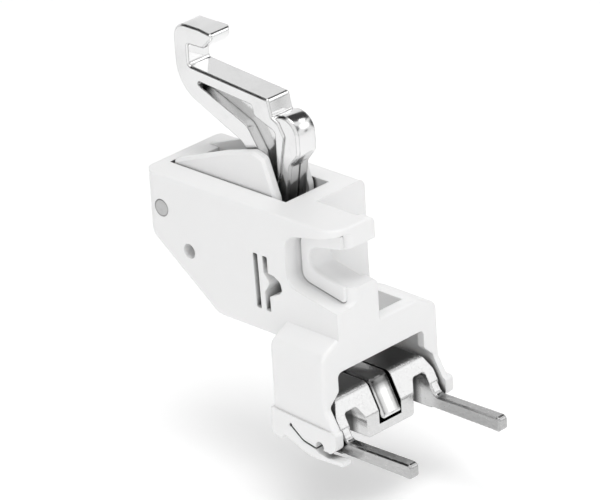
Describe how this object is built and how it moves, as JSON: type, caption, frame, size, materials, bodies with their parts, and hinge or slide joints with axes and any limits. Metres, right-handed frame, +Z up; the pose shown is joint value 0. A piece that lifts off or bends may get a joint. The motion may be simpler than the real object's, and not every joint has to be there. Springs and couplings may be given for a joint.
{
  "type": "dual feed foot holder",
  "caption": "White moulded presser foot holder with a chromed hooked feed arm and a sprung steel feed claw with two toothed prongs.",
  "frame": {"origin": "point where the presser bar's axis meets the clamp screw's axis", "axes": "+Z up along the presser bar; -Y to the front, where the prongs point; +X away from the clamp screw's side"},
  "size_m": [0.0234, 0.0502, 0.0531],
  "materials": {
    "white_plastic": "satin",
    "chrome": "polished",
    "claw_steel": "plated and ground",
    "pin_steel": "satin",
    "spring_steel": "bright wire",
    "spacer_plastic": "matte"
  },
  "bodies": {
    "holder": {"housing": "white_plastic", "rear_pivot_pin": "pin_steel", "lift_spring": "spring_steel"},
    "lifter": {"lift_lever": "white_plastic", "arm_pivot_pin": "pin_steel", "arm_spacer": "spacer_plastic", "arm_spring": "spring_steel"},
    "arm": {"feed_arm": "chrome"},
    "claw": {"feed_claw": "claw_steel", "claw_pin": "pin_steel", "claw_spring": "spring_steel"}
  },
  "joints": [
    {"name": "lift_hinge", "type": "hinge", "parent": "holder", "child": "lifter", "pos_m": [-0.0021, 0.02754, 0.00118], "axis": [1, 0, 0], "range_deg": [0, 6], "stiffness_Nm_per_rad": 0.05, "springref_deg": -14.32, "deforming": ["lift_spring"]},
    {"name": "feed_hinge", "type": "hinge", "parent": "lifter", "child": "arm", "pos_m": [-0.0021, 0.0116, 0.003], "axis": [1, 0, 0], "range_deg": [-4, 6], "stiffness_Nm_per_rad": 0.03, "deforming": ["arm_spring"]},
    {"name": "claw_hinge", "type": "hinge", "parent": "arm", "child": "claw", "pos_m": [-0.0021, -0.0018, -0.0206], "axis": [1, 0, 0], "range_deg": [-5, 5], "stiffness_Nm_per_rad": 0.03, "deforming": ["claw_spring"]}
  ]
}
